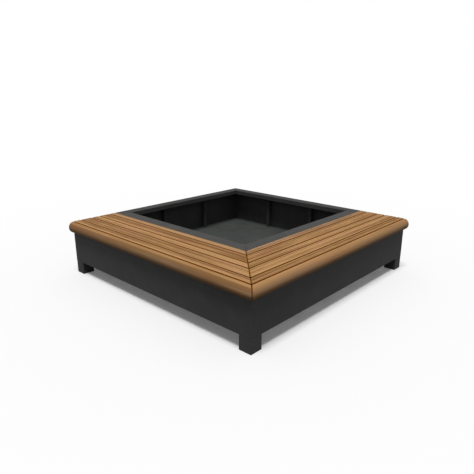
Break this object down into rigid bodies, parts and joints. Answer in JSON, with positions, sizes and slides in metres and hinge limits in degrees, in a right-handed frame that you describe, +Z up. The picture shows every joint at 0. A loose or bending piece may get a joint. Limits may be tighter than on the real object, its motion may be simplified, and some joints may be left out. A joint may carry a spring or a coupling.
{
  "type": "planter bench",
  "caption": "Square raised sheet steel planter on corner feet, with a mitred timber slat seat and round nosing along two neighbouring sides.",
  "frame": {"origin": "on the ground, under the middle of the square steel body, which is also the middle of the four ground anchor holes", "axes": "+Z up; the seats run along the front (-Y) and the right (+X) and meet in a mitre at the +X -Y corner; the plain rims are at the rear (+Y) and the left (-X)"},
  "size_m": [2.043, 2.043, 0.45],
  "materials": {
    "steel": "satin powder coat with a fine texture",
    "timber": "oiled timber, long straight grain",
    "zinc": "zinc-plated steel"
  },
  "bodies": {
    "root": {"panel_front": "steel", "panel_right": "steel", "panel_rear": "steel", "panel_left": "steel", "inner_wall_front": "steel", "inner_wall_right": "steel", "tub_floor": "steel", "floor_stiffener_1": "steel", "floor_stiffener_2": "steel", "floor_stiffener_3": "steel", "floor_stiffener_4": "steel", "wall_rib_left_1": "steel", "wall_rib_left_2": "steel", "wall_rib_rear_1": "steel", "wall_rib_rear_2": "steel", "foot_front_left": "steel", "foot_front_right": "steel", "foot_rear_right": "steel", "foot_rear_left": "steel", "base_plate_front_left": "zinc", "base_plate_front_right": "zinc", "base_plate_rear_right": "zinc", "base_plate_rear_left": "zinc", "foot_bolts": "zinc", "foot_nuts": "zinc", "bulkhead_front_1": "steel", "bulkhead_front_2": "steel", "bulkhead_front_3": "steel", "bulkhead_front_4": "steel", "bulkhead_right_1": "steel", "bulkhead_right_2": "steel", "bulkhead_right_3": "steel", "bulkhead_right_4": "steel", "mitre_bearer": "steel", "slat_front_1": "timber", "slat_front_2": "timber", "slat_front_3": "timber", "slat_front_4": "timber", "slat_front_5": "timber", "nosing_front": "timber", "slat_right_1": "timber", "slat_right_2": "timber", "slat_right_3": "timber", "slat_right_4": "timber", "slat_right_5": "timber", "nosing_right": "timber", "slat_screws_front": "zinc", "slat_screws_right": "zinc", "nosing_screws_front": "zinc", "nosing_screws_right": "zinc"}
  },
  "joints": []
}
